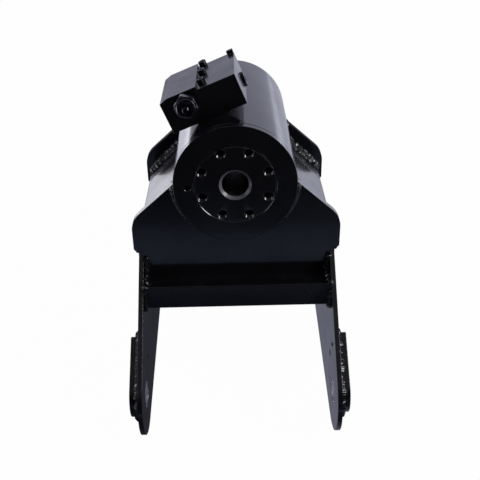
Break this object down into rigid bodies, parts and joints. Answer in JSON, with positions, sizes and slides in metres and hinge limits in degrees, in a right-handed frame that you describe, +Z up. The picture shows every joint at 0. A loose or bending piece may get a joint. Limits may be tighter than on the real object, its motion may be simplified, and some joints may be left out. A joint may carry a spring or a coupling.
{
  "type": "platform rotator",
  "caption": "Helical rotary actuator in a welded clevis bracket, with a hollow flanged shaft through its round housing and a counterbalance valve block on top.",
  "frame": {"origin": "middle of the bounding box, on the floor that the side plates' lower edges stand on", "axes": "+Z up as the bracket stands, -Y towards the front flange and the pin eyes, +X to the right seen from the front; the shaft's axis runs back along +Y and falls 10 degrees"},
  "size_m": [0.2764, 0.4376, 0.4068],
  "materials": {
    "black_paint": "gloss black enamel",
    "steel": "machined steel",
    "dark_screws": "dark zinc plate",
    "bronze": "bearing bronze",
    "seal": "black nitrile"
  },
  "bodies": {
    "bracket": {"cross_tube": "black_paint", "front_bearing": "bronze", "front_gland": "black_paint", "front_saddle": "black_paint", "front_shaft_seal": "seal", "gland_lock_screw": "dark_screws", "gland_o_ring": "seal", "housing": "black_paint", "left_pin_boss": "black_paint", "left_side_plate": "black_paint", "left_slope_plate": "black_paint", "rear_bearing": "bronze", "rear_saddle": "black_paint", "rear_shaft_seal": "seal", "right_pin_boss": "black_paint", "right_side_plate": "black_paint", "right_slope_plate": "black_paint", "ring_gear": "steel", "seam_lock_screw": "dark_screws", "top_plate": "black_paint", "valve_adjuster": "dark_screws", "valve_block": "black_paint", "valve_bolt_1": "dark_screws", "valve_bolt_2": "dark_screws", "valve_bolt_3": "dark_screws", "valve_cartridge": "steel", "valve_lock_nut": "dark_screws", "valve_tab": "black_paint"},
    "shaft": {"shaft": "black_paint", "end_cap": "black_paint", "end_cap_dowel": "steel", "front_thrust_washer": "bronze", "rear_thrust_washer": "bronze"},
    "piston": {"piston_seal": "seal"},
    "sleeve": {"piston_sleeve": "steel", "piston_shaft_seal": "seal"}
  },
  "joints": [
    {"name": "shaft_turn", "type": "hinge", "parent": "bracket", "child": "shaft", "pos_m": [0, -0.05293, 0.29378], "axis": [0, 0.9848, -0.1736], "range_deg": [-90, 90]},
    {"name": "piston_slide", "type": "slide", "parent": "bracket", "child": "piston", "axis": [0, 0.9848, -0.1736], "range_m": [-0.03, 0.03]},
    {"name": "sleeve_turn", "type": "hinge", "parent": "piston", "child": "sleeve", "pos_m": [0, -0.05293, 0.29378], "axis": [0, 0.9848, -0.1736], "range_deg": [-45, 45]}
  ],
  "couplings": [
    {"joint": "piston_slide", "follows": "shaft_turn", "m_per_rad": 0.019099},
    {"joint": "sleeve_turn", "follows": "shaft_turn", "ratio": 0.5}
  ]
}
